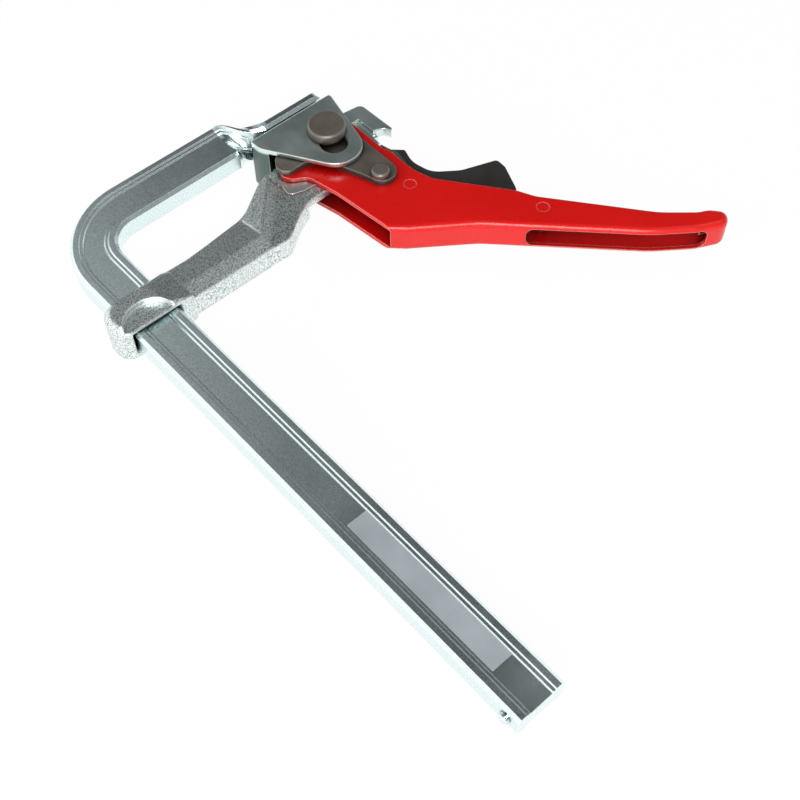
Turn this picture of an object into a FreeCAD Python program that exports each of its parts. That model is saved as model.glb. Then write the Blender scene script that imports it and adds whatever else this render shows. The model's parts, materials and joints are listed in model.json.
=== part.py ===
import FreeCAD, Part
import math
import os

# Quick release bar clamp, lying on its side.
# Millimetres. Origin at the centre of the fixed jaw's pressure face.
# +X runs away from the rail, +Y from the moving jaw to the fixed jaw, +Z up through the thickness.

# Rail, bow and fixed arm: one forged and rolled profile
rail_width = 20.0
rail_thickness = 10.0
rail_chamfer = 1.3
rail_length = 247.0
throat = 96.5
flange_width = 3.4
second_step = 4.9
step_depth = 0.5
web_depth = 1.1
bevel_run = 0.5
bow_inner_radius = 12.3
bow_outer_radius = 36.0
arm_setback = 0.6
twist_length = 16.5
twist_haste = 0.56
twist_neck = 2.3
setback_share = 0.25
twist_steps = 10
jaw_length = 28.5
jaw_overhang = 14.5
jaw_thickness = 4.8
jaw_height = 17.4
jaw_corner = 4.5

# Stop pin at the rail's free end
stop_pin_radius = 2.2
stop_pin_inset = 5.4
stop_pin_stand = 1.8
stop_pin_depth = 8.0

# Slide: moving jaw's stack, measured outwards from the middle plane
jaw_gap = 3.2
cap_sheet = 2.2
cam_rest_height = 15.0
tongue_half = 4.6
lever_inner_half = 4.85
lever_wall = 1.75
cam_plate_thickness = 2.5
cap_side_clearance = 0.2
cap_plate_thickness = 2.0
head_clearance = 0.15
running_clearance = 0.08
fit_clearance = 0.02
touch_gap = 0.3

# Collar of the slide arm
collar_front = -49.6
collar_depth = 16.4
collar_wall = 6.2
collar_half = 9.5
collar_round = 2.4
collar_clearance = 0.35
collar_mouth = 1.6
lip_radius = 11.3
lip_drop = 2.2
slope_start = 4.5
slope_run = 11.0

# Slide arm
arm_side_half = 4.6
arm_ridge_half = 6.3
arm_throat_half = 3.6
arm_ridge_line = 22.3
arm_throat_line = 10.2
neck_start = 52.0
neck_angle_deg = 47.0
neck_foot = (-52.7, -22.5)
neck_band = 4.1
neck_slope_run = 9.0
shoulder_radius = 31.0
relief_level = 1.6
relief_reach = 6.5

# Pivot rivet
pivot_radius = 5.5
pivot_head_radius = 7.8
pivot_head_height = 4.0
head_edge = 0.6

# Ratchet plate and pawl
ratchet_thickness = 4.0
ratchet_step = 1.5
tooth_tip_radius = 21.4
tooth_root_radius = 19.6
tooth_pitch_deg = 10.8
tooth_first_deg = -27.5
tooth_count = 5
ratchet_rivet_radius = 2.0
pawl_thickness = 3.6
pawl_pin_radius = 1.0

# Lever handle
lever_web = 1.8
grip_slot_half = 4.6
grip_slot_corner = 3.2
bend_radius = 2.6
fold_reach = 3.0

# Cam
cam_rate_per_deg = 2.9 / 15.0
lever_close_deg = 15.0
lever_open_deg = 10.0
cam_rivet_radius = 2.6
cam_rivet_head_radius = 3.7
cam_rivet_head_height = 2.5
cam_spacer_radius = 4.2
cam_end = (3.4, -30.0)
cam_end_radius = 5.8

# Trigger
trigger_half = 4.4
trigger_pin_radius = 2.5
grip_pin_radius = 2.5
spring_wire_radius = 0.5
spring_sides = 6
spring_coil_radius = 3.7
spring_turns = 11.0 / 6.0
spring_trigger_leg = 9.0
spring_handle_leg = 21.8
spring_pitch = 1.45

# Pressure cap
cap_bend_radius = 1.8
slot_radius = 5.75
slot_below = 7.46
slot_above = 3.0
slot_lean_deg = 18.0
cap_corner = 2.2
flange_drop = 10.3

rail_right = -throat
rail_left = rail_right - rail_width
arm_inner = -arm_setback
arm_outer = arm_inner + rail_width
rail_end = arm_inner - rail_length
half_t = rail_thickness / 2.0
jaw_start = jaw_overhang - jaw_length
twist_start = jaw_start - twist_length
pivot_x = 0.0
pivot_y = -(jaw_gap + cap_sheet + cam_rest_height)
lever_outer_half = lever_inner_half + lever_wall
cam_outer_half = lever_outer_half + cam_plate_thickness
cap_inner_half = cam_outer_half + cap_side_clearance
cap_outer_half = cap_inner_half + cap_plate_thickness
head_seat = cap_outer_half + head_clearance
ratchet_bottom = tongue_half - ratchet_thickness
cam_rivet_xy = (1.7, -30.9)
trigger_pin_xy = (8.2, -41.2)
grip_pin_xy = (38.5, -85.5)

V = FreeCAD.Vector


def rounded_wire(corners, z):
    """Closed wire through (x, y, radius) corners, each corner an arc where its radius isn't 0."""
    count = len(corners)
    tangents = []
    for i in range(count):
        x, y, r = corners[i]
        here = V(x, y, z)
        before = V(corners[i - 1][0], corners[i - 1][1], z)
        after = V(corners[(i + 1) % count][0], corners[(i + 1) % count][1], z)
        back = (before - here).normalize()
        ahead = (after - here).normalize()
        turn = back.getAngle(ahead)
        if r <= 0.0 or turn > math.pi - 1e-3:
            tangents.append((here, None, here))
            continue
        run = r / math.tan(turn / 2.0)
        middle = (back + ahead).normalize()
        centre = here + middle * (r / math.sin(turn / 2.0))
        tangents.append((here + back * run, centre - middle * r, here + ahead * run))
    edges = []
    for i in range(count):
        start, mid, end = tangents[i]
        if mid is not None:
            edges.append(Part.Arc(start, mid, end).toShape())
        nxt = tangents[(i + 1) % count][0]
        if (nxt - end).Length > 1e-4:
            edges.append(Part.LineSegment(end, nxt).toShape())
    return Part.Wire(edges)


def prism(corners, z0, z1):
    """Solid of a rounded outline from z0 to z1."""
    return Part.Face(rounded_wire(corners, z0)).extrude(V(0, 0, z1 - z0))


def from_pivot(corners):
    """Corners given from the pivot, moved to the part's frame."""
    return [(x + pivot_x, y + pivot_y, r) for x, y, r in corners]


def bar(xy, radius, z0, z1):
    """Round bar along Z at a point given from the pivot."""
    return Part.makeCylinder(radius, z1 - z0, V(xy[0] + pivot_x, xy[1] + pivot_y, z0))


def polar(radius, degrees):
    """Point at a radius and an angle about the pivot."""
    a = math.radians(degrees)
    return radius * math.cos(a), radius * math.sin(a)


def rail_section(half_width, half_thick, chamfer, groove):
    """Half of the rolled section as (across, up) points, then mirrored to the full loop."""
    upper = [
        (-half_width, half_thick - chamfer),
        (-half_width + chamfer, half_thick),
        (-half_width + flange_width, half_thick),
        (-half_width + flange_width + bevel_run, half_thick - step_depth * groove),
        (-half_width + second_step, half_thick - step_depth * groove),
        (-half_width + second_step + bevel_run, half_thick - web_depth * groove),
    ]
    upper += [(-across, up) for across, up in reversed(upper)]
    return upper + [(-across, -up) for across, up in upper]


def rail_outline(inset, z, end, arm_end):
    """Plan outline of rail, bow and arm, drawn in from both long edges by inset."""
    left = rail_left + inset
    right = rail_right - inset
    top = arm_outer - inset
    bottom = arm_inner + inset
    oc = V(rail_left + bow_outer_radius, arm_outer - bow_outer_radius, z)
    ic = V(rail_right + bow_inner_radius, arm_inner - bow_inner_radius, z)
    ro = bow_outer_radius - inset
    ri = bow_inner_radius + inset
    diag = math.sqrt(0.5)
    pts = [V(left, end, z), V(left, oc.y, z), V(oc.x, top, z), V(arm_end, top, z),
           V(arm_end, bottom, z), V(ic.x, bottom, z), V(right, ic.y, z), V(right, end, z)]
    outer_mid = oc + V(-ro * diag, ro * diag, 0)
    inner_mid = ic + V(-ri * diag, ri * diag, 0)
    return Part.Wire([
        Part.LineSegment(pts[0], pts[1]).toShape(),
        Part.Arc(pts[1], outer_mid, pts[2]).toShape(),
        Part.LineSegment(pts[2], pts[3]).toShape(),
        Part.LineSegment(pts[3], pts[4]).toShape(),
        Part.LineSegment(pts[4], pts[5]).toShape(),
        Part.Arc(pts[5], inner_mid, pts[6]).toShape(),
        Part.LineSegment(pts[6], pts[7]).toShape(),
        Part.LineSegment(pts[7], pts[0]).toShape(),
    ])


def slab(inset_low, z_low, inset_high, z_high, end, arm_end):
    """Bevelled slab between two outlines of the rail."""
    low = rail_outline(inset_low, z_low, end, arm_end)
    high = rail_outline(inset_high, z_high, end, arm_end)
    return Part.makeLoft([low, high], True, True)


def twist_wire(share):
    """Section of the fixed arm's end, turned from flat to upright as share goes from 0 to 1."""
    eased = share * share * (3.0 - 2.0 * share)
    turned = eased ** twist_haste
    turn = math.radians(90.0 * turned)
    waist = twist_neck * math.sin(math.pi * share) ** 2
    half_width = rail_width / 2.0 + (jaw_height / 2.0 - rail_width / 2.0) * eased - waist
    half_thick = half_t + (jaw_thickness / 2.0 - half_t) * turned
    groove = 1.0 - eased
    loop = []
    for across, up in rail_section(half_width, half_thick, rail_chamfer, groove):
        loop.append((across * math.cos(turn) - up * math.sin(turn),
                     across * math.sin(turn) + up * math.cos(turn)))
    lowest = min(y for y, z in loop)
    face_y = arm_inner * max(0.0, 1.0 - share / setback_share)
    x = twist_start + twist_length * share
    points = [V(x, y - lowest + face_y, z) for y, z in loop]
    return Part.makePolygon(points + [points[0]])


def rail_and_fixed_arm():
    core = slab(0.0, -half_t + rail_chamfer, 0.0, half_t - rail_chamfer, rail_end, twist_start)
    for side in (1.0, -1.0):
        core = core.fuse(slab(0.0, side * (half_t - rail_chamfer), rail_chamfer, side * half_t,
                              rail_end, twist_start))
    over_end = rail_end - 1.0
    over_arm = twist_start + 1.0
    for side in (1.0, -1.0):
        core = core.cut(slab(flange_width, side * half_t, flange_width + bevel_run,
                             side * (half_t - step_depth), over_end, over_arm))
        core = core.cut(slab(second_step, side * (half_t - step_depth), second_step + bevel_run,
                             side * (half_t - web_depth), over_end, over_arm))
    twist = Part.makeLoft([twist_wire(i / twist_steps) for i in range(twist_steps + 1)], True, True)
    jaw = Part.Face(twist_wire(1.0)).extrude(V(jaw_length, 0, 0))
    round_face = Part.Face(rounded_wire([
        (jaw_start - 1.0, -jaw_height, 0.0), (jaw_start - 1.0, jaw_height, 0.0),
        (jaw_start, jaw_height, 0.0), (jaw_start, jaw_height / 2.0, 0.0),
        (jaw_overhang, jaw_height / 2.0, jaw_corner), (jaw_overhang, -jaw_height / 2.0, jaw_corner),
        (jaw_start, -jaw_height / 2.0, 0.0), (jaw_start, -jaw_height, 0.0)], 0.0))
    round_face.rotate(V(0, 0, 0), V(1, 0, 0), 90)
    keep = round_face.extrude(V(0, 4.0 * jaw_thickness, 0))
    keep.translate(V(0, -2.0 * jaw_thickness, 0))
    jaw = jaw.common(keep)
    whole = core.fuse(twist).fuse(jaw)
    hole = Part.makeCylinder(stop_pin_radius, stop_pin_depth,
                             V(rail_left, rail_end + stop_pin_inset, 0), V(1, 0, 0))
    return whole.cut(hole)


def end_stop_pin():
    pin = Part.makeCylinder(stop_pin_radius - fit_clearance, stop_pin_depth + stop_pin_stand,
                            V(rail_left - stop_pin_stand, rail_end + stop_pin_inset, 0), V(1, 0, 0))
    tips = [e for e in pin.Edges if e.BoundBox.XLength < 0.01]
    return pin.makeChamfer(0.5, tips)


def collar_block():
    """Collar round the rail: rounded on the outer side, sloping down to the arm on the other."""
    left = rail_left - collar_wall
    slope_x = rail_right - slope_start
    right = slope_x + slope_run
    back = collar_front + collar_depth
    block = prism([(left, collar_front, 6.0), (right, collar_front, 0.0),
                   (right, back, 0.0), (left, back, 8.0)], -collar_half, collar_half)
    rims = [e for e in block.Edges if e.BoundBox.ZLength < 0.01 and e.CenterOfMass.x < right - 0.01]
    block = block.makeChamfer(collar_round, rims)
    slope = Part.Face(Part.makePolygon([
        V(slope_x, collar_front - 1.0, collar_half), V(right + 1.0, collar_front - 1.0, arm_ridge_half),
        V(right + 1.0, collar_front - 1.0, 2.0 * collar_half),
        V(slope_x, collar_front - 1.0, 2.0 * collar_half),
        V(slope_x, collar_front - 1.0, collar_half)])).extrude(V(0, collar_depth + 2.0, 0))
    high = V(rail_right - 1.0, back - 0.6, 8.6)
    low = V(rail_right + 11.7, back + 2.0, 3.9)
    ridge = V(rail_right + 14.5, pivot_y - arm_ridge_line - 0.8, arm_ridge_half + 0.2)
    facet = Part.makeBox(60.0, 60.0, 20.0, V(-30.0, -30.0, 0.0))
    facet.Placement = FreeCAD.Placement(high, FreeCAD.Rotation(V(0, 0, 1), (ridge - high).cross(low - high)))
    lip = Part.makeCylinder(lip_radius, collar_half,
                            V(0.5 * (rail_left + rail_right) - 3.0, collar_front - 2.4, collar_half - lip_drop))
    for tool in (slope, facet, lip):
        block = block.cut(tool).cut(tool.mirror(V(0, 0, 0), V(0, 0, 1)))
    return block


def bore_face(grow, y):
    """Rectangle of the rail's passage, grown outwards by grow, at a station along the rail."""
    c = collar_clearance + grow
    pts = [V(rail_left - c, y, -half_t - c), V(rail_right + c, y, -half_t - c),
           V(rail_right + c, y, half_t + c), V(rail_left - c, y, half_t + c)]
    return Part.makePolygon(pts + [pts[0]])


def slide_arm():
    px, py = pivot_x, pivot_y
    plan = [
        (rail_right + 1.5, collar_front, 0.0),
        (px - 50.5, collar_front - 0.6, 3.0),
        (px - 44.5, py - 30.2, 6.0),
        (px - 34.7, py - 23.6, 8.0),
        (px - 27.5, py - 19.9, 10.0),
        (px - 11.5, py - 20.2, 8.0),
        (px + 6.5, py - 17.4, 5.0),
        (px + 16.5, py - 9.5, 5.0),
        (px + 16.5, py + 7.0, 6.0),
        (px + 7.0, py + 11.8, 6.0),
        (px - 9.0, py + 11.8, 6.0),
        (px - 22.5, py + 3.6, 6.0),
        (px - 30.0, py + 2.3, 3.0),
        (px - 36.0, py + 0.4, 6.0),
        (px - 48.2, py - 7.1, 14.0),
        (px - 53.0, py - 8.6, 14.0),
        (px - 80.0, py - 11.2, 14.0),
        (rail_right + 1.5, py - 10.6, 0.0),
    ]
    outline = prism(plan, -arm_ridge_half, arm_ridge_half)
    far = 2.0 * throat
    split = px - neck_start
    section = [(collar_front - 0.8, arm_side_half), (py - arm_ridge_line, arm_ridge_half),
               (py - arm_throat_line, arm_throat_half), (far, arm_throat_half)]
    section += [(y, -z) for y, z in reversed(section)]
    pts = [V(rail_right, y, z) for y, z in section]
    long_part = Part.Face(Part.makePolygon(pts + [pts[0]])).extrude(V(split - rail_right, 0, 0))
    turn = math.radians(neck_angle_deg)
    along = V(math.cos(turn), math.sin(turn), 0)
    aside = V(-math.sin(turn), math.cos(turn), 0)
    foot = V(px + neck_foot[0], py + neck_foot[1], 0) - along * neck_band
    neck_section = [(-far, tongue_half), (-neck_band, tongue_half), (0.0, arm_ridge_half),
                    (neck_slope_run, arm_throat_half), (far, arm_throat_half)]
    neck_section += [(s, -z) for s, z in reversed(neck_section)]
    pts = [foot - along * neck_start + aside * s + V(0, 0, z) for s, z in neck_section]
    neck_part = Part.Face(Part.makePolygon(pts + [pts[0]])).extrude(along * far)
    beyond = prism([(split, -far, 0.0), (far, -far, 0.0), (far, far, 0.0), (split, far, 0.0)],
                   -collar_half, collar_half)
    body = outline.common(long_part).fuse(outline.common(neck_part).common(beyond))
    body = body.fuse(collar_block())
    for side in (1.0, -1.0):
        base = tongue_half if side > 0 else -tongue_half - 20.0
        body = body.cut(Part.makeCylinder(shoulder_radius, 20.0, V(px, py, base)))
    edge_y = py - 20.2
    relief = [V(px - 27.0, edge_y, relief_level), V(px - 27.0, edge_y + relief_reach, -tongue_half - 0.1),
              V(px - 27.0, edge_y - relief_reach, -tongue_half - 0.1), V(px - 27.0, edge_y - relief_reach, relief_level)]
    body = body.cut(Part.Face(Part.makePolygon(relief + [relief[0]])).extrude(V(28.0, 0, 0)))
    passage = Part.makeLoft([bore_face(0.0, collar_front - 5.0),
                             bore_face(0.0, collar_front + collar_depth + 5.0)], True, True)
    mouth = Part.makeLoft([bore_face(collar_mouth, collar_front - 1.0),
                           bore_face(0.0, collar_front + collar_mouth)], True, True)
    body = body.cut(passage).cut(mouth)
    body = body.cut(ratchet_seat())
    body = body.cut(bar((0, 0), pivot_radius, -20.0, 20.0))
    for xy in ratchet_rivet_places():
        body = body.cut(bar(xy, ratchet_rivet_radius, -20.0, 20.0))
    return body


def ratchet_rivet_places():
    return [(-21.5, -7.0), (9.0, -13.0)]


def ratchet_lower_side(g):
    """Corners of the ratchet plate along its lower side, grown outwards by g."""
    return [(-30.5 - g, -12.0, 3.2), (-24.0, -14.2 - g, 6.0), (-8.0, -15.5 - g, 8.0)]


def ratchet_upper_side(g):
    """Corners of the ratchet plate along its upper side, grown outwards by g."""
    return [(8.0, 10.4 + g, 6.0), (-8.0, 8.6 + g, 6.0), (-29.5 - g, -6.4, 3.2)]


def ratchet_seat():
    """Pocket in the arm for the ratchet plate, open towards the teeth."""
    outside = [(2.0, -20.0, 4.0), (12.0, -22.0, 0.0), (28.0, -12.0, 0.0), (28.0, 8.1 + touch_gap, 0.0)]
    corners = ratchet_lower_side(touch_gap) + outside + ratchet_upper_side(touch_gap)
    return prism(from_pivot(corners), ratchet_bottom, tongue_half + 1.0)


def ratchet_plate():
    hook = [(0.5, -16.5, 3.0), (12.0, -11.0, 3.0), (18.8, -7.1, 0.0), (23.0, -8.8, 3.0),
            (24.3, -11.9, 0.0), (25.4, -11.2, 0.6), (25.0, 8.1, 2.6)]
    body = prism(from_pivot(ratchet_lower_side(0.0) + hook + ratchet_upper_side(0.0)),
                 ratchet_bottom, tongue_half)
    rim = [(18.8, -7.1)]
    for i in range(tooth_count):
        a = tooth_first_deg - i * tooth_pitch_deg
        rim.append(polar(tooth_tip_radius, a))
        rim.append(polar(tooth_root_radius, a - 0.2 * tooth_pitch_deg))
    rim.append((0.0, 0.0))
    pts = [V(x + pivot_x, y + pivot_y, ratchet_bottom) for x, y in rim]
    teeth = Part.Face(Part.makePolygon(pts + [pts[0]])).extrude(V(0, 0, ratchet_thickness))
    body = body.fuse(teeth).removeSplitter()
    body = body.cut(prism(from_pivot([
        (6.5, 2.1, 0.0), (6.5, -14.0, 0.0), (-5.0, -25.0, 0.0), (20.3, -25.0, 0.0),
        (20.3, -9.6, 0.0), (18.5, -7.3, 0.0), (18.5, 2.1, 0.0)]), tongue_half - ratchet_step, tongue_half + 1.0))
    body = body.cut(bar((0, 0), pivot_radius, -20.0, 20.0))
    for xy in ratchet_rivet_places():
        body = body.cut(bar(xy, ratchet_rivet_radius, -20.0, 20.0))
    return body


def ratchet_rivets():
    return Part.makeCompound([bar(xy, ratchet_rivet_radius - fit_clearance, -tongue_half, tongue_half)
                              for xy in ratchet_rivet_places()])


def rivet_head(xy, radius, height, seat, side):
    """Flat rivet head with a broken rim, standing on the plane z = seat."""
    head = Part.makeCylinder(radius, height - head_edge, V(0, 0, seat))
    rim = Part.makeCone(radius, radius - head_edge, head_edge, V(0, 0, seat + height - head_edge))
    head = head.fuse(rim)
    head.translate(V(xy[0] + pivot_x, xy[1] + pivot_y, 0))
    if side < 0:
        head = head.mirror(V(0, 0, 0), V(0, 0, 1))
    return head


def pivot_rivet():
    shank = bar((0, 0), pivot_radius - fit_clearance, -head_seat, head_seat)
    for side in (1, -1):
        shank = shank.fuse(rivet_head((0, 0), pivot_head_radius, pivot_head_height, head_seat, side))
    return shank.removeSplitter()


def web_corners():
    """Corners of the handle's folded edge, from the heel to the inside of the tip."""
    return [
        (-13.4, -53.6, 0.0), (-9.0, -58.0, 9.0), (14.0, -75.2, 40.0), (60.5, -123.2, 60.0),
        (75.0, -134.4, 16.0), (86.0, -140.0, 5.0), (91.4, -135.2, 3.6), (88.4, -131.6, 0.0)]


def lever_corners():
    return from_pivot(web_corners() + [
        (81.5, -128.4, 10.0), (70.0, -118.0, 40.0), (40.5, -79.6, 12.0), (37.0, -72.0, 6.0),
        (17.0, -45.0, 9.0), (14.6, -36.0, 10.0), (14.6, -21.4, 1.0), (13.5, -19.0, 1.0),
        (13.6, 1.0, 6.0), (8.0, 9.2, 5.0), (0.0, 11.2, 8.0), (-9.0, 11.2, 6.0),
        (-22.0, 2.4, 6.0), (-27.6, -2.4, 4.0), (-25.2, -7.6, 4.0), (-19.4, -10.8, 5.0),
        (-16.4, -25.0, 20.0)])


def lever_handle():
    corners = lever_corners()
    body = prism(corners, -lever_outer_half, lever_outer_half)
    web_line = Part.makePolygon([V(x, y, 0) for x, y, r in from_pivot(web_corners())])
    folds = []
    for e in body.Edges:
        middle = V(e.CenterOfMass.x, e.CenterOfMass.y, 0)
        if e.BoundBox.ZLength < 0.01 and web_line.distToShape(Part.Vertex(middle))[0] < fold_reach:
            folds.append(e)
    body = body.makeFillet(bend_radius, folds)
    inner_wire = rounded_wire(corners, -lever_inner_half).makeOffset2D(-lever_web)
    channel = Part.Face(inner_wire).extrude(V(0, 0, 2.0 * lever_inner_half))
    mouth = prism(from_pivot([
        (-60.0, -53.5, 0.0), (-6.0, -53.5, 6.0), (12.0, -66.0, 0.0), (58.0, -113.0, 0.0),
        (80.0, -131.5, 0.0), (96.0, -124.0, 0.0), (60.0, 40.0, 0.0), (-60.0, 40.0, 0.0)]),
        -lever_inner_half, lever_inner_half)
    body = body.cut(channel).cut(mouth)
    body = body.cut(grip_slot())
    body = body.cut(bar((0, 0), pivot_radius + running_clearance, -20.0, 20.0))
    body = body.cut(bar(cam_rivet_xy, cam_rivet_radius, -20.0, 20.0))
    body = body.cut(bar(trigger_pin_xy, trigger_pin_radius, -20.0, 20.0))
    return body.cut(bar(grip_pin_xy, grip_pin_radius, -20.0, 20.0))


def grip_slot():
    """Long slot with rounded corners through the handle's web."""
    start = V(pivot_x + 26.5, pivot_y - 88.6, 0)
    end = V(pivot_x + 78.8, pivot_y - 136.2, 0)
    run = end - start
    half = grip_slot_half
    r = grip_slot_corner
    slot = prism([(0.0, -half, r), (run.Length, -half, r), (run.Length, half, r), (0.0, half, r)], -7.0, 7.0)
    slot.rotate(V(0, 0, 0), V(1, 0, 0), 90)
    slot.rotate(V(0, 0, 0), V(0, 0, 1), math.degrees(math.atan2(run.y, run.x)))
    slot.translate(start)
    return slot


def cam_edge():
    """Cam edge that lifts a flat follower at a steady rate, from open to closed."""
    rise = cam_rate_per_deg * 180.0 / math.pi
    points = []
    for step in range(7):
        deg = -lever_open_deg - 3.0 + step * (lever_open_deg + lever_close_deg + 6.0) / 6.0
        height = cam_rest_height - touch_gap + cam_rate_per_deg * deg
        a = math.radians(90.0 + deg)
        points.append((height * math.cos(a) - rise * math.sin(a),
                       height * math.sin(a) + rise * math.cos(a)))
    return points


def cam_plate(side):
    edge = cam_edge()
    x, y = cam_end
    r = cam_end_radius
    start = [V(px + pivot_x, py + pivot_y, 0) for px, py in edge]
    curve = Part.BSplineCurve()
    curve.interpolate(start)
    rest = [
        (edge[-1][0], edge[-1][1]), (-20.0, 6.5), (-24.6, 3.4), (-26.8, 0.0), (-26.7, -2.8),
        (-24.2, -5.6), (-17.0, -5.8), (-12.6, -7.4), (-8.0, -14.3), (x - r, y)]
    edges = [curve.toShape()]
    pts = [V(a + pivot_x, b + pivot_y, 0) for a, b in rest]
    for a, b in zip(pts[:-1], pts[1:]):
        edges.append(Part.LineSegment(a, b).toShape())
    low_left = pts[-1]
    low_right = V(x + r + pivot_x, y + pivot_y, 0)
    bottom = V(x + pivot_x, y - r + pivot_y, 0)
    edges.append(Part.Arc(low_left, bottom, low_right).toShape())
    top_right = V(x + r + pivot_x, pivot_y + 6.0, 0)
    top_mid = V(2.0 + pivot_x, pivot_y + 12.4, 0)
    edges.append(Part.LineSegment(low_right, top_right).toShape())
    edges.append(Part.LineSegment(top_right, top_mid).toShape())
    edges.append(Part.LineSegment(top_mid, start[0]).toShape())
    z0 = lever_outer_half if side > 0 else -cam_outer_half
    face = Part.Face(Part.Wire(edges))
    face.translate(V(0, 0, z0))
    plate = face.extrude(V(0, 0, cam_plate_thickness))
    soft = [e for e in plate.Edges if e.BoundBox.ZLength > cam_plate_thickness - 0.01
            and e.CenterOfMass.y < pivot_y + 7.0 and abs(e.CenterOfMass.x - low_right.x) > 0.5]
    plate = plate.makeFillet(2.2, soft)
    plate = plate.cut(bar((0, 0), pivot_radius + running_clearance, -20.0, 20.0))
    return plate.cut(bar(cam_rivet_xy, cam_rivet_radius, -20.0, 20.0))


def cam_plate_front():
    return cam_plate(1)


def cam_plate_rear():
    return cam_plate(-1)


def cam_rivet():
    shank = bar(cam_rivet_xy, cam_rivet_radius - fit_clearance, -cam_outer_half, cam_outer_half)
    for side in (1, -1):
        shank = shank.fuse(rivet_head(cam_rivet_xy, cam_rivet_head_radius, cam_rivet_head_height,
                                      cam_outer_half, side))
    return shank.removeSplitter()


def cam_rivet_spacer():
    half = lever_inner_half - fit_clearance
    tube = bar(cam_rivet_xy, cam_spacer_radius, -half, half)
    return tube.cut(bar(cam_rivet_xy, cam_rivet_radius, -half - 1.0, half + 1.0))


def cross_pin(xy, radius):
    half = lever_outer_half
    return bar(xy, radius - fit_clearance, -half, half)


def trigger_pin():
    return cross_pin(trigger_pin_xy, trigger_pin_radius)


def grip_pin():
    return cross_pin(grip_pin_xy, grip_pin_radius)


def trigger_corners():
    return from_pivot([
        (17.0, -20.0, 0.8), (21.0, -24.0, 1.0), (18.6, -31.0, 12.0), (20.6, -40.5, 10.0),
        (30.0, -47.8, 14.0), (44.9, -53.4, 1.8), (44.6, -58.4, 4.0), (39.0, -71.0, 2.0),
        (33.5, -70.0, 3.0), (20.0, -54.0, 8.0), (8.2, -47.6, 5.0), (2.4, -42.0, 5.0),
        (5.2, -35.0, 5.0), (11.2, -28.5, 3.0), (13.2, -21.6, 1.0)])


def pawl_corners(grow):
    tip = tooth_tip_radius + touch_gap
    lead = polar(tip, -43.0)
    trail = polar(tip, -50.0)
    heel = polar(tip + 2.0, -55.0)
    return from_pivot([
        (lead[0], lead[1], 0.0), (16.8 + grow, -19.0 + grow, 0.0), (18.0 + grow, -22.5, 1.0),
        (16.6 + grow, -29.5 - grow, 1.0), (12.4 - grow, -28.5 - grow, 1.0),
        (heel[0] - grow, heel[1], 0.0), (trail[0], trail[1], 0.0)])


def pawl_pin_places():
    return [(15.6, -22.4), (14.9, -26.6)]


def pawl_levels():
    top = trigger_half - 0.1
    return top - pawl_thickness, top


def trigger():
    body = prism(trigger_corners(), -trigger_half, trigger_half)
    low, high = pawl_levels()
    body = body.cut(prism(pawl_corners(fit_clearance), low - fit_clearance, trigger_half + 1.0))
    for xy in pawl_pin_places():
        body = body.cut(bar(xy, pawl_pin_radius, -trigger_half - 1.0, trigger_half + 1.0))
    body = body.cut(bar(trigger_pin_xy, trigger_pin_radius + running_clearance, -20.0, 20.0))
    span = spring_half_length() + 0.5
    pocket = spring_coil_radius + spring_wire_radius + 0.6
    body = body.cut(bar(trigger_pin_xy, pocket, -span, span))
    x, y = trigger_pin_xy
    legs = prism(from_pivot([
        (x - 12.0, y - 14.0, 0.0), (x + 16.0, y - 16.0, 0.0), (x + 11.0, y - 1.5, 1.0),
        (x + 2.0, y - 0.5, 0.0), (x - 12.0, y, 0.0)]), -span, span)
    return body.cut(legs)


def pawl():
    low, high = pawl_levels()
    body = prism(pawl_corners(0.0), low, high)
    for xy in pawl_pin_places():
        body = body.cut(bar(xy, pawl_pin_radius, low - 1.0, high + 1.0))
    return body


def pawl_pins():
    return Part.makeCompound([bar(xy, pawl_pin_radius - fit_clearance, -trigger_half, trigger_half - 0.1)
                              for xy in pawl_pin_places()])


def spring_half_length():
    return spring_turns * spring_pitch / 2.0 + spring_wire_radius


def helix_point(turns):
    a = -math.pi / 2.0 - 2.0 * math.pi * turns
    x = trigger_pin_xy[0] + pivot_x + spring_coil_radius * math.cos(a)
    y = trigger_pin_xy[1] + pivot_y + spring_coil_radius * math.sin(a)
    z = -spring_turns * spring_pitch / 2.0 + spring_pitch * turns
    return V(x, y, z)


def trigger_spring():
    """Torsion spring round the trigger pin, one leg under the trigger and one to the handle's web."""
    arcs = round(spring_turns * 6)
    start = helix_point(0.0)
    finish = helix_point(spring_turns)
    last_angle = -math.pi / 2.0 - 2.0 * math.pi * spring_turns
    leg_in = start + V(spring_trigger_leg, 0, 0)
    leg_out = finish + V(math.sin(last_angle), -math.cos(last_angle), 0) * spring_handle_leg
    edges = [Part.LineSegment(leg_in, start).toShape()]
    for i in range(arcs):
        edges.append(Part.Arc(helix_point(i / 6.0), helix_point((i + 0.5) / 6.0),
                              helix_point((i + 1.0) / 6.0)).toShape())
    edges.append(Part.LineSegment(finish, leg_out).toShape())
    ring = []
    for i in range(spring_sides + 1):
        a = 2.0 * math.pi * i / spring_sides
        ring.append(leg_in + V(0, math.cos(a), math.sin(a)) * spring_wire_radius)
    ring = Part.makePolygon(ring[:-1] + [ring[0]])
    shell = Part.BRepOffsetAPI.MakePipeShell(Part.Wire(edges))
    shell.add(ring)
    shell.build()
    shell.makeSolid()
    least = spring_pitch - 2.0 * spring_wire_radius
    print("trigger spring gap between coils, mm:", round(least, 3))
    return shell.shape()


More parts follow.
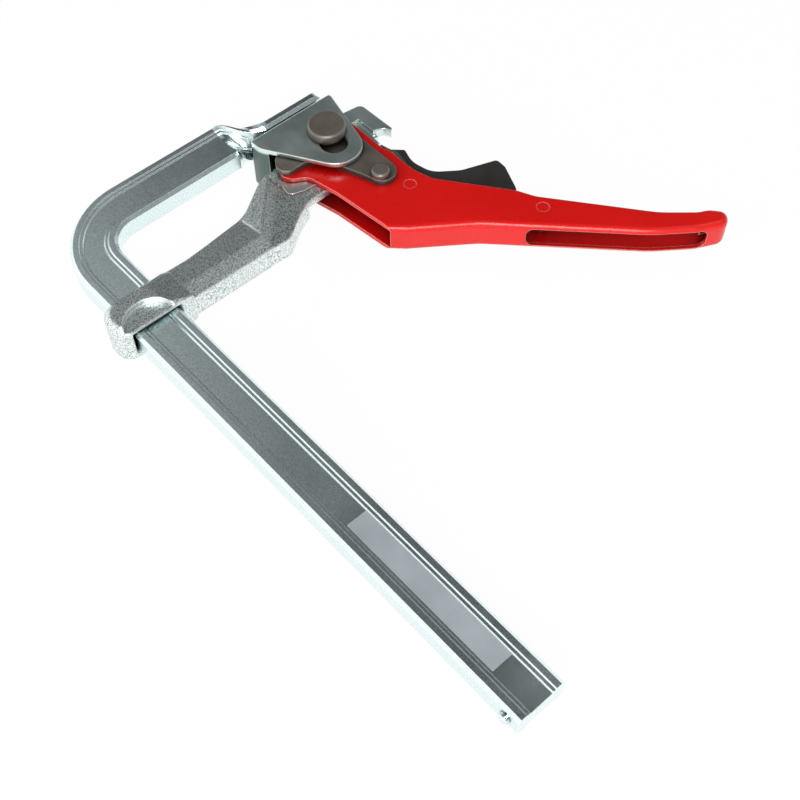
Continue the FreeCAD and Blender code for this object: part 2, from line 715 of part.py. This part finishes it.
def pressure_cap():
    top = cam_rest_height + cap_sheet
    left = -26.7
    right = 15.2
    lean_x, lean_y = 0.519, -0.855
    fold_y = top - 6.26
    body = prism(from_pivot([
        (left, top, 0.0), (right, top, 0.0), (1.75, -35.9, 10.8), (left, fold_y, 9.0)]),
        -cap_outer_half, cap_outer_half)
    bends = []
    for e in body.Edges:
        at_top = abs(e.CenterOfMass.y - (top + pivot_y)) < 0.01
        at_left = abs(e.CenterOfMass.x - (pivot_x + left)) < 0.01
        along_x = e.BoundBox.XLength > 20.0
        if at_top and (along_x or at_left):
            bends.append(e)
    body = body.makeFillet(cap_bend_radius, bends)
    body = body.common(prism(from_pivot([
        (left - 1.0, top, 0.0), (right, top, cap_corner), (1.75, -35.9, 0.0), (left - 1.0, -35.9, 0.0)]),
        -cap_outer_half, cap_outer_half))
    inner_x = left - lean_y * cap_plate_thickness
    inner_y = fold_y + lean_x * cap_plate_thickness
    fall = flange_drop - (top - fold_y)
    end = V(left + lean_x * fall, fold_y + lean_y * fall, 0)
    inner_end = end + V(-lean_y, lean_x, 0) * cap_plate_thickness
    outer_end = end - V(-lean_y, lean_x, 0) * 30.0
    body = body.cut(prism(from_pivot([
        (left + cap_plate_thickness, cam_rest_height, 0.0), (30.0, cam_rest_height, 0.0), (30.0, -60.0, 0.0),
        (-60.0, -60.0, 0.0), (outer_end.x, outer_end.y, 0.0), (inner_end.x, inner_end.y, 0.0),
        (inner_x, inner_y, 0.0)]), -cap_inner_half, cap_inner_half))
    lean = math.radians(slot_lean_deg)
    up = (math.sin(lean), math.cos(lean))
    low = (-up[0] * slot_below, -up[1] * slot_below)
    high = (up[0] * slot_above, up[1] * slot_above)
    side = (up[1] * slot_radius, -up[0] * slot_radius)
    slot = prism(from_pivot([
        (low[0] + side[0], low[1] + side[1], 0.0), (high[0] + side[0], high[1] + side[1], 0.0),
        (high[0] - side[0], high[1] - side[1], 0.0), (low[0] - side[0], low[1] - side[1], 0.0)]),
        -30.0, 30.0)
    slot = slot.fuse(bar(low, slot_radius, -30.0, 30.0)).fuse(bar(high, slot_radius, -30.0, 30.0))
    return body.cut(slot)


pieces = {
    "rail_and_fixed_arm": rail_and_fixed_arm,
    "end_stop_pin": end_stop_pin,
    "slide_arm": slide_arm,
    "ratchet_plate": ratchet_plate,
    "ratchet_rivets": ratchet_rivets,
    "pivot_rivet": pivot_rivet,
    "lever_handle": lever_handle,
    "cam_plate_front": cam_plate_front,
    "cam_plate_rear": cam_plate_rear,
    "cam_rivet": cam_rivet,
    "cam_rivet_spacer": cam_rivet_spacer,
    "trigger": trigger,
    "trigger_pin": trigger_pin,
    "trigger_spring": trigger_spring,
    "pawl": pawl,
    "pawl_pins": pawl_pins,
    "grip_spacer_pin": grip_pin,
    "pressure_cap": pressure_cap,
}

os.makedirs("parts", exist_ok=True)
for name, make in pieces.items():
    shape = make()
    print(name, len(shape.Solids), "valid" if shape.isValid() else "INVALID", round(shape.Volume, 1))
    shape.exportStep("parts/" + name + ".step")
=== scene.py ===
import json
import math

import bpy
import bmesh
from mathutils import Matrix, Vector


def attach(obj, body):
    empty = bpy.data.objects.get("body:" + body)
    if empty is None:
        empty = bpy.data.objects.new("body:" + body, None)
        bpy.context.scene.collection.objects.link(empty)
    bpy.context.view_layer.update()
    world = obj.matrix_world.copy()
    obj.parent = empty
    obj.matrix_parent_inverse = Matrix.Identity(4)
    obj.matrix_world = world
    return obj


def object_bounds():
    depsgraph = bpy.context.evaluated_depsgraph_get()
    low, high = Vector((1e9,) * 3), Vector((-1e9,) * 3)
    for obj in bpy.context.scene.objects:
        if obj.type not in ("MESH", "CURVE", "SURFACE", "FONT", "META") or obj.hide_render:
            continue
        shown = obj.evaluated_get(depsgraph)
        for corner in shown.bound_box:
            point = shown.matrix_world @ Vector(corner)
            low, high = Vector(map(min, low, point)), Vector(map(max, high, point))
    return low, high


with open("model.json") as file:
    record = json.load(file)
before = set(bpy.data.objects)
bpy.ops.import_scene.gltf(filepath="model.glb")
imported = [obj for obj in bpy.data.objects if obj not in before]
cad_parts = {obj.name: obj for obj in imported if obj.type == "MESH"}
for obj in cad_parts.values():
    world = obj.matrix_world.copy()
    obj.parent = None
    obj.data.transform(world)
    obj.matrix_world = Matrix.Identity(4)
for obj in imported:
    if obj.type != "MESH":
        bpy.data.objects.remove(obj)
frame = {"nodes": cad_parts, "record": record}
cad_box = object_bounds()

MM = 0.001

# The photograph's camera, as fitted to the rail: azimuth, elevation and roll in degrees
CAMERA_PLACE = Vector((-0.2340, -0.3272, 0.3758))
CAMERA_AZIMUTH = 48.383
CAMERA_ELEVATION = 55.378
CAMERA_ROLL = 0.462
CAMERA_LENS_MM = 57.394
SENSOR_MM = 36.0
CLIP_START = 0.01

# Most values of a noise texture lie between these two
NOISE_LOW = 0.3
NOISE_HIGH = 0.7

# Rays that feel for edges, and for the corners and overhanging pieces where shade is painted
BEVEL_SAMPLES = 6
SHELTER_SAMPLES = 8

# Cosine between a surface and its rounded edge: full lighter edge colour at the first, none at the
# second
EDGE_FULL_AT = 0.80
EDGE_NONE_AT = 0.995

# Underside of the cap's top plate, and over what depth below it the flange's painted shade fades
# in, in metres
FLANGE_TOP = 0.0095
FLANGE_FADE = 0.0012

# Blank label in the rail's recess, in metres
LABEL_LOW = (-0.1105, -0.2302)
LABEL_HIGH = (-0.1003, -0.1610)
LABEL_CORNER = 0.0006
LABEL_THICKNESS = 0.00012
RECESS_Z = 0.0039
CORNER_STEPS = 6

# Floor: half its width and its gap under the clamp, in metres
FLOOR_REACH = 3.0
FLOOR_GAP = 0.0002
FLOOR_WHITE = 0.92
FLOOR_ROUGHNESS = 0.9
# Share of the floor's white that glows by itself; the rest carries the clamp's shadow
FLOOR_GLOW = 0.96
# Brightness of the floor as the metal mirrors it
MIRRORED_FLOOR = 1.12

# What the lamps are aimed at
MIDDLE = (-0.02, -0.10, 0.0)

# The room that the metal mirrors, as directions: a soft patch overhead, a white wall to the left,
# a dark corner behind the clamp and a bright panel high above it
CEILING_PATCH = (0.05, 0.60, 0.80)
LEFT_WALL = (-0.90, 0.35, 0.30)
DARK_SIDE = (0.40, 0.90, 0.15)
FRONT_PANEL = (0.42, -0.14, 0.897)
# Grey of the ceiling by how squarely its patch is met
CEILING_GREYS = ((0.30, 0.38), (0.60, 0.28), (0.80, 0.09), (0.88, 0.05), (0.925, 0.10),
                 (0.952, 0.13), (0.965, 0.24), (0.980, 0.52), (0.993, 0.70))
# How squarely each is met where it begins and where it is full
LEFT_WALL_EDGE = (0.30, 0.65)
DARK_SIDE_EDGE = (0.45, 0.75)
FRONT_PANEL_EDGE = (0.965, 0.992)
# Heights, as the sine of the elevation, over which the walls fade upwards
FAR_WALLS_TOP = (0.02, 0.30)
LEFT_WALL_TOP = (0.45, 0.72)
DARK_SIDE_SHARE = 0.8
WALL_LEVEL = 1.5
PANEL_LEVEL = 1.9
ROOM_STRENGTH = 0.9


# Node graph helpers

def empty_tree(owner, output_kind):
    """Cleared node tree of a material or a world, with its output node."""
    owner.use_nodes = True
    tree = owner.node_tree
    tree.nodes.clear()
    return tree, tree.nodes.new(output_kind)


def fresh_material(name):
    material = bpy.data.materials.new(name)
    tree, output = empty_tree(material, "ShaderNodeOutputMaterial")
    shader = tree.nodes.new("ShaderNodeBsdfPrincipled")
    tree.links.new(shader.outputs["BSDF"], output.inputs["Surface"])
    return material, tree, shader


def coordinates(tree, kind):
    """Coordinates of a kind: Object, in metres, or Generated, a direction in the world."""
    return tree.nodes.new("ShaderNodeTexCoord").outputs[kind]


def height(tree, kind):
    """Z of the coordinates of a kind."""
    split = tree.nodes.new("ShaderNodeSeparateXYZ")
    tree.links.new(coordinates(tree, kind), split.inputs["Vector"])
    return split.outputs["Z"]


def noise(tree, scale, detail=4.0, rough=0.6, stretch=(1.0, 1.0, 1.0), turn=(0.0, 0.0, 0.0)):
    """Noise in object space; scale is in waves per metre and turn in radians."""
    mapping = tree.nodes.new("ShaderNodeMapping")
    mapping.inputs["Scale"].default_value = stretch
    mapping.inputs["Rotation"].default_value = turn
    texture = tree.nodes.new("ShaderNodeTexNoise")
    texture.inputs["Scale"].default_value = scale
    texture.inputs["Detail"].default_value = detail
    texture.inputs["Roughness"].default_value = rough
    tree.links.new(coordinates(tree, "Object"), mapping.inputs["Vector"])
    tree.links.new(mapping.outputs["Vector"], texture.inputs["Vector"])
    return texture.outputs["Fac"]


def spots(tree, scale):
    """Cells in object space, for the pits of a casting; scale is in cells per metre."""
    texture = tree.nodes.new("ShaderNodeTexVoronoi")
    texture.inputs["Scale"].default_value = scale
    tree.links.new(coordinates(tree, "Object"), texture.inputs["Vector"])
    return texture.outputs["Distance"]


def ramp(tree, value, stops):
    """Colour of a value, from stops as (value, colour)."""
    node = tree.nodes.new("ShaderNodeValToRGB")
    elements = node.color_ramp.elements
    while len(elements) < len(stops):
        elements.new(0.5)
    for element, (at, colour) in zip(elements, stops):
        element.position = at
        element.color = (*colour, 1.0)
    tree.links.new(value, node.inputs["Fac"])
    return node.outputs["Color"]


def tint(tree, value, first, second):
    """Colour that goes from first to second with a noise texture's value."""
    return ramp(tree, value, [(NOISE_LOW, first), (NOISE_HIGH, second)])


def span(tree, value, low, high, from_low=NOISE_LOW, from_high=NOISE_HIGH):
    """Value that goes from low to high while the input goes from from_low to from_high."""
    node = tree.nodes.new("ShaderNodeMapRange")
    node.inputs["From Min"].default_value = from_low
    node.inputs["From Max"].default_value = from_high
    node.inputs["To Min"].default_value = low
    node.inputs["To Max"].default_value = high
    tree.links.new(value, node.inputs["Value"])
    return node.outputs["Result"]


def mix_colour(tree, share, first, second):
    """Mix of two colours, each a socket or three numbers: first at share 0, second at 1."""
    node = tree.nodes.new("ShaderNodeMix")
    node.data_type = "RGBA"
    tree.links.new(share, node.inputs["Factor"])
    for socket, source in ((node.inputs["A"], first), (node.inputs["B"], second)):
        if isinstance(source, tuple):
            socket.default_value = (*source, 1.0)
        else:
            tree.links.new(source, socket)
    return node.outputs["Result"]


def mix_shaders(tree, share, first, second):
    """First shader at share 0, second at share 1."""
    node = tree.nodes.new("ShaderNodeMixShader")
    tree.links.new(share, node.inputs["Fac"])
    tree.links.new(first, node.inputs[1])
    tree.links.new(second, node.inputs[2])
    return node.outputs["Shader"]


def dot_product(tree, first, second):
    """Dot product of a socket with another socket or with a fixed vector."""
    node = tree.nodes.new("ShaderNodeVectorMath")
    node.operation = "DOT_PRODUCT"
    tree.links.new(first, node.inputs[0])
    if isinstance(second, Vector):
        node.inputs[1].default_value = second
    else:
        tree.links.new(second, node.inputs[1])
    return node.outputs["Value"]


def rounded_normal(tree, radius_mm):
    """The surface's normal as if its edges were rounded by the radius."""
    bevel = tree.nodes.new("ShaderNodeBevel")
    bevel.samples = BEVEL_SAMPLES
    bevel.inputs["Radius"].default_value = radius_mm * MM
    return bevel.outputs["Normal"]


def edged(tree, colour, lighter_edge, radius_mm):
    """Colour that gives way to a lighter edge colour on edges, within the radius; on the red paint
    and its pins this is a painted highlight.
    """
    geometry = tree.nodes.new("ShaderNodeNewGeometry")
    turned = dot_product(tree, rounded_normal(tree, radius_mm), geometry.outputs["Normal"])
    return mix_colour(tree, span(tree, turned, 1.0, 0.0, EDGE_FULL_AT, EDGE_NONE_AT), colour, lighter_edge)


def painted_shade(tree, colour, shade_colour, reach_mm, open_from=0.35, open_to=0.80):
    """Colour with painted shade: it darkens to the shade colour in corners and under overhanging
    pieces.
    """
    shelter = tree.nodes.new("ShaderNodeAmbientOcclusion")
    shelter.samples = SHELTER_SAMPLES
    shelter.inputs["Distance"].default_value = reach_mm * MM
    share = span(tree, shelter.outputs["AO"], 0.0, 1.0, open_from, open_to)
    return mix_colour(tree, share, shade_colour, colour)


def bump_chain(tree, shader, layers, round_mm=0.0):
    """Heights as (value, depth in mm) laid over edges that are rounded by round_mm."""
    normal = rounded_normal(tree, round_mm) if round_mm else None
    for value, depth_mm in layers:
        node = tree.nodes.new("ShaderNodeBump")
        node.inputs["Strength"].default_value = 1.0
        node.inputs["Distance"].default_value = depth_mm * MM
        tree.links.new(value, node.inputs["Height"])
        if normal is not None:
            tree.links.new(normal, node.inputs["Normal"])
        normal = node.outputs["Normal"]
    tree.links.new(normal, shader.inputs["Normal"])


def cover(tree, shader, colour, roughness, metallic=0.0):
    """Connect colour and roughness to the shader, and set its metallic share."""
    tree.links.new(colour, shader.inputs["Base Color"])
    tree.links.new(roughness, shader.inputs["Roughness"])
    shader.inputs["Metallic"].default_value = metallic


# Materials: scales of noise in waves per metre; edges, depths and reaches in millimetres

def zinc_rail():
    material, tree, shader = fresh_material("zinc_rail")
    cloud = noise(tree, 45.0, 5.0, 0.6)
    speckle = noise(tree, 1700.0, 3.0, 0.7)
    streak = noise(tree, 160.0, 4.0, 0.6, (1.0, 0.05, 1.0))
    base = tint(tree, cloud, (0.66, 0.79, 0.80), (0.76, 0.89, 0.90))
    fine = ramp(tree, speckle, [(0.38, (0.50, 0.61, 0.62)), (0.62, (0.93, 0.99, 1.0))])
    colour = mix_colour(tree, span(tree, streak, 0.3, 0.7), base, fine)
    # Painted shade: darker in the grooves and where other parts overlap the rail
    colour = painted_shade(tree, colour, (0.04, 0.05, 0.06), 1.2)
    cover(tree, shader, edged(tree, colour, (0.98, 0.99, 1.0), 0.5),
          span(tree, cloud, 0.20, 0.28), 1.0)
    bump_chain(tree, shader, [(streak, 0.02), (speckle, 0.012)], 0.3)
    return material


def cast_zinc():
    material, tree, shader = fresh_material("cast_zinc")
    cloud = noise(tree, 80.0, 5.0, 0.6)
    sand = noise(tree, 2500.0, 2.0, 0.6)
    grain = spots(tree, 1500.0)
    colour = tint(tree, cloud, (0.66, 0.82, 0.79), (0.80, 0.95, 0.92))
    speck = ramp(tree, sand, [(0.40, (0.14, 0.18, 0.17)), (0.49, (0.74, 0.86, 0.84)),
                              (0.58, (1.0, 1.0, 1.0))])
    colour = mix_colour(tree, span(tree, grain, 0.7, 1.0, 0.1, 0.6), colour, speck)
    # Painted shade: dark lines in the casting's creases, along its gap to the rail and under the
    # cap
    colour = painted_shade(tree, colour, (0.12, 0.12, 0.12), 2.2, 0.15, 0.65)
    cover(tree, shader, edged(tree, colour, (0.96, 0.97, 0.97), 0.8),
          span(tree, sand, 0.30, 0.42), 1.0)
    bump_chain(tree, shader, [(sand, 0.08), (grain, 0.05)], 1.6)
    return material


def zinc_sheet(name, shaded_below=None):
    """Plated sheet steel; under the height shaded_below, in metres, it carries painted shade."""
    material, tree, shader = fresh_material(name)
    cloud = noise(tree, 60.0, 5.0, 0.6)
    scuff = noise(tree, 260.0, 5.0, 0.7, (1.0, 0.12, 1.0), (0.0, 0.0, 0.7))
    speckle = noise(tree, 2000.0, 2.0, 0.6)
    colour = tint(tree, cloud, (0.62, 0.75, 0.72), (0.82, 0.95, 0.92))
    scratched = ramp(tree, scuff, [(0.58, (0.56, 0.68, 0.65)), (0.68, (1.0, 1.0, 1.0))])
    colour = mix_colour(tree, span(tree, scuff, 0.0, 0.6, 0.5, 0.8), colour, scratched)
    # Painted shade: the cap's flange, under its top plate, turns dark
    if shaded_below is not None:
        above = span(tree, height(tree, "Object"), 0.0, 1.0, shaded_below - FLANGE_FADE, shaded_below)
        colour = mix_colour(tree, above, (0.11, 0.15, 0.135), colour)
    # Painted shade: darker where other parts overlap the sheet
    colour = painted_shade(tree, colour, (0.03, 0.035, 0.035), 1.5)
    cover(tree, shader, edged(tree, colour, (0.98, 1.0, 1.0), 0.7),
          span(tree, cloud, 0.28, 0.40), 1.0)
    bump_chain(tree, shader, [(speckle, 0.008), (scuff, 0.012)], 0.8)
    return material


def dark_steel():
    material, tree, shader = fresh_material("dark_steel")
    cloud = noise(tree, 120.0, 5.0, 0.65)
    speckle = noise(tree, 2200.0, 2.0, 0.6)
    colour = tint(tree, cloud, (0.140, 0.120, 0.102), (0.215, 0.188, 0.160))
    # Painted shade: a dark band under the cap's edge and round the plates where they meet other
    # parts
    colour = painted_shade(tree, colour, (0.010, 0.009, 0.008), 5.0, 0.45, 0.95)
    cover(tree, shader, edged(tree, colour, (0.34, 0.33, 0.31), 0.5),
          span(tree, speckle, 0.36, 0.48), 0.6)
    bump_chain(tree, shader, [(speckle, 0.01), (cloud, 0.03)], 0.5)
    return material


def red_paint(name, edge_mm, edge_colour):
    """Gloss paint whose edges within edge_mm carry a painted highlight in edge_colour."""
    material, tree, shader = fresh_material(name)
    cloud = noise(tree, 40.0, 3.0, 0.5)
    peel = noise(tree, 300.0, 1.0, 0.5)
    colour = tint(tree, cloud, (0.56, 0.004, 0.003), (0.61, 0.006, 0.004))
    # Painted shade: deep in the slot and channel, and under the plates and cap
    colour = painted_shade(tree, colour, (0.14, 0.001, 0.001), 14.0, 0.30, 0.90)
    # Painted highlight: the edges within edge_mm turn to the lighter edge_colour
    cover(tree, shader, edged(tree, colour, edge_colour, edge_mm), span(tree, peel, 0.27, 0.30))
    shader.inputs["Specular IOR Level"].default_value = 0.4
    shader.inputs["Coat Weight"].default_value = 0.12
    shader.inputs["Coat Roughness"].default_value = 0.08
    bump_chain(tree, shader, [(cloud, 0.01)], 1.0)
    return material


def black_coat():
    material, tree, shader = fresh_material("black_coat")
    grain = noise(tree, 1500.0, 3.0, 0.6)
    cloud = noise(tree, 90.0, 4.0, 0.6)
    colour = tint(tree, cloud, (0.014, 0.013, 0.012), (0.024, 0.022, 0.020))
    cover(tree, shader, edged(tree, colour, (0.09, 0.085, 0.085), 0.6),
          span(tree, grain, 0.42, 0.60))
    bump_chain(tree, shader, [(grain, 0.02)], 0.6)
    return material


def spring_wire():
    material, tree, shader = fresh_material("spring_wire")
    draw = noise(tree, 900.0, 3.0, 0.6)
    cover(tree, shader, tint(tree, draw, (0.30, 0.30, 0.31), (0.45, 0.45, 0.46)),
          span(tree, draw, 0.25, 0.4), 0.95)
    bump_chain(tree, shader, [(draw, 0.01)])
    return material


def label_film():
    material, tree, shader = fresh_material("label_film")
    cloud = noise(tree, 70.0, 4.0, 0.55)
    grain = noise(tree, 1800.0, 2.0, 0.6)
    cover(tree, shader, tint(tree, cloud, (0.36, 0.41, 0.44), (0.44, 0.49, 0.52)),
          span(tree, grain, 0.34, 0.46), 0.35)
    bump_chain(tree, shader, [(cloud, 0.03), (grain, 0.006)])
    return material


slot_materials = {
    "zinc_rail": zinc_rail(),
    "cast_zinc": cast_zinc(),
    "zinc_sheet": zinc_sheet("zinc_sheet"),
    "dark_steel": dark_steel(),
    "red_paint": red_paint("red_paint", 0.4, (1.0, 0.42, 0.36)),
    "black_coat": black_coat(),
    "spring_steel": spring_wire(),
}
# The pins, painted over, keep only a faint painted highlight ring at their edges
pin_paint = red_paint("red_paint_pins", 0.3, (0.70, 0.03, 0.02))
own_materials = {
    # The cap's flange carries painted shade below FLANGE_TOP
    "pressure_cap": zinc_sheet("zinc_cap", FLANGE_TOP),
    "trigger_pin": pin_paint,
    "grip_spacer_pin": pin_paint,
}
node_slots = {entry["node"]: entry["material_slot"] for entry in frame["record"]["subparts"]}
for name, node in frame["nodes"].items():
    for slot in node.material_slots:
        slot.material = own_materials.get(name, slot_materials[node_slots[name]])


# Label

def plate_mesh(name, outline, z_low, z_high):
    """Plate between two heights, from a closed outline in metres."""
    bm = bmesh.new()
    base = bm.faces.new([bm.verts.new((x, y, z_low)) for x, y in outline])
    grown = bmesh.ops.extrude_face_region(bm, geom=[base])
    moved = [g for g in grown["geom"] if isinstance(g, bmesh.types.BMVert)]
    bmesh.ops.translate(bm, verts=moved, vec=(0.0, 0.0, z_high - z_low))
    bmesh.ops.recalc_face_normals(bm, faces=bm.faces)
    mesh = bpy.data.meshes.new(name)
    bm.to_mesh(mesh)
    bm.free()
    obj = bpy.data.objects.new(name, mesh)
    bpy.context.scene.collection.objects.link(obj)
    return obj


def rounded_rectangle(x0, y0, x1, y1, radius):
    points = []
    for cx, cy, start in ((x1 - radius, y0 + radius, -90), (x1 - radius, y1 - radius, 0),
                          (x0 + radius, y1 - radius, 90), (x0 + radius, y0 + radius, 180)):
        for i in range(CORNER_STEPS + 1):
            a = math.radians(start + 90.0 * i / CORNER_STEPS)
            points.append((cx + radius * math.cos(a), cy + radius * math.sin(a)))
    return points


label = plate_mesh("label_plate", rounded_rectangle(*LABEL_LOW, *LABEL_HIGH, LABEL_CORNER),
                   RECESS_Z, RECESS_Z + LABEL_THICKNESS)
label.data.materials.append(label_film())
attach(label, "frame")


# Floor

def floor_material():
    """White that glows for the camera and in the metal, and is lit by lamps for the rest."""
    material = bpy.data.materials.new("studio_floor")
    tree, output = empty_tree(material, "ShaderNodeOutputMaterial")
    matt = tree.nodes.new("ShaderNodeBsdfPrincipled")
    matt.inputs["Base Color"].default_value = (FLOOR_WHITE, FLOOR_WHITE, FLOOR_WHITE, 1.0)
    matt.inputs["Roughness"].default_value = FLOOR_ROUGHNESS
    glow = tree.nodes.new("ShaderNodeEmission")
    path = tree.nodes.new("ShaderNodeLightPath")
    seen = path.outputs["Is Camera Ray"]
    tree.links.new(span(tree, seen, MIRRORED_FLOOR, 1.0, 0.0, 1.0), glow.inputs["Strength"])
    share = tree.nodes.new("ShaderNodeMath")
    share.operation = "MAXIMUM"
    tree.links.new(span(tree, seen, 0.0, FLOOR_GLOW, 0.0, 1.0), share.inputs[0])
    tree.links.new(path.outputs["Is Glossy Ray"], share.inputs[1])
    mixed = mix_shaders(tree, share.outputs["Value"], matt.outputs["BSDF"],
                        glow.outputs["Emission"])
    tree.links.new(mixed, output.inputs["Surface"])
    return material


floor_mesh = bpy.data.meshes.new("studio_floor")
floor_z = cad_box[0][2] - FLOOR_GAP
floor_corners = [(x * FLOOR_REACH, y * FLOOR_REACH, floor_z)
                 for x, y in ((-1, -1), (1, -1), (1, 1), (-1, 1))]
floor_mesh.from_pydata(floor_corners, [], [(0, 1, 2, 3)])
floor = bpy.data.objects.new("studio_floor", floor_mesh)
floor.data.materials.append(floor_material())
bpy.context.scene.collection.objects.link(floor)


# Lamps

def aim(place, target):
    """Rotation that points an object's -Z from place to target."""
    return (Vector(target) - Vector(place)).to_track_quat("-Z", "Y").to_matrix().to_4x4()


def area_light(name, place, target, size, power, mirrored=True):
    """Rectangular lamp of a power in watts; unless mirrored, the metal doesn't show it."""
    data = bpy.data.lights.new(name, "AREA")
    data.shape = "RECTANGLE"
    data.size, data.size_y = size
    data.energy = power
    obj = bpy.data.objects.new(name, data)
    obj.matrix_world = Matrix.Translation(place) @ aim(place, target)
    obj.visible_glossy = mirrored
    bpy.context.scene.collection.objects.link(obj)


area_light("key", (-0.75, -0.85, 1.15), MIDDLE, (0.7, 0.7), 16.5)
area_light("left_wall", (-1.2, 0.1, 0.45), MIDDLE, (1.2, 0.6), 7.0, False)
area_light("front_wall", (0.1, -1.3, 0.45), MIDDLE, (1.2, 0.6), 2.0, False)


# World

def facing(tree, direction):
    """How squarely a direction of the room is met, 1 when it is met head on."""
    return dot_product(tree, coordinates(tree, "Generated"), Vector(direction).normalized())


def grey(level):
    """Faintly cool grey."""
    return (level, level * 1.02, level * 1.03)


def mirrored_room(tree):
    """Colour of the room in each direction."""
    ceiling = ramp(tree, facing(tree, CEILING_PATCH),
                   [(at, grey(level)) for at, level in CEILING_GREYS])
    far_walls = span(tree, height(tree, "Generated"), 1.0, 0.0, *FAR_WALLS_TOP)
    left_wall = span(tree, height(tree, "Generated"), 1.0, 0.0, *LEFT_WALL_TOP)
    left = span(tree, facing(tree, LEFT_WALL), 0.0, 1.0, *LEFT_WALL_EDGE)
    dark = span(tree, facing(tree, DARK_SIDE), 0.0, DARK_SIDE_SHARE, *DARK_SIDE_EDGE)
    panel = span(tree, facing(tree, FRONT_PANEL), 0.0, 1.0, *FRONT_PANEL_EDGE)
    far_walls = mix_colour(tree, dark, far_walls, (0.0, 0.0, 0.0))
    walls = mix_colour(tree, left, far_walls, left_wall)
    room = mix_colour(tree, walls, ceiling, (WALL_LEVEL, WALL_LEVEL, WALL_LEVEL))
    return mix_colour(tree, panel, room, (PANEL_LEVEL, PANEL_LEVEL, PANEL_LEVEL))


world = bpy.data.worlds.new("studio")
bpy.context.scene.world = world
tree, output = empty_tree(world, "ShaderNodeOutputWorld")
room = tree.nodes.new("ShaderNodeBackground")
room.inputs["Strength"].default_value = ROOM_STRENGTH
tree.links.new(mirrored_room(tree), room.inputs["Color"])
backdrop = tree.nodes.new("ShaderNodeBackground")
path = tree.nodes.new("ShaderNodeLightPath")
mixed = mix_shaders(tree, path.outputs["Is Camera Ray"], room.outputs["Background"],
                    backdrop.outputs["Background"])
tree.links.new(mixed, output.inputs["Surface"])


# Camera

azimuth = math.radians(CAMERA_AZIMUTH)
elevation = math.radians(CAMERA_ELEVATION)
roll = math.radians(CAMERA_ROLL)
forward = Vector((math.cos(elevation) * math.cos(azimuth), math.cos(elevation) * math.sin(azimuth),
                  -math.sin(elevation)))
level_right = forward.cross(Vector((0, 0, 1))).normalized()
level_down = forward.cross(level_right)
right = math.cos(roll) * level_right + math.sin(roll) * level_down
down = -math.sin(roll) * level_right + math.cos(roll) * level_down
camera_data = bpy.data.cameras.new("photo_camera")
camera_data.sensor_width = SENSOR_MM
camera_data.lens = CAMERA_LENS_MM
camera_data.clip_start = CLIP_START
camera = bpy.data.objects.new("photo_camera", camera_data)
turn = Matrix((right, -down, -forward)).transposed().to_4x4()
camera.matrix_world = Matrix.Translation(CAMERA_PLACE) @ turn
bpy.context.scene.collection.objects.link(camera)
bpy.context.scene.camera = camera

bpy.context.scene.view_settings.view_transform = "Standard"
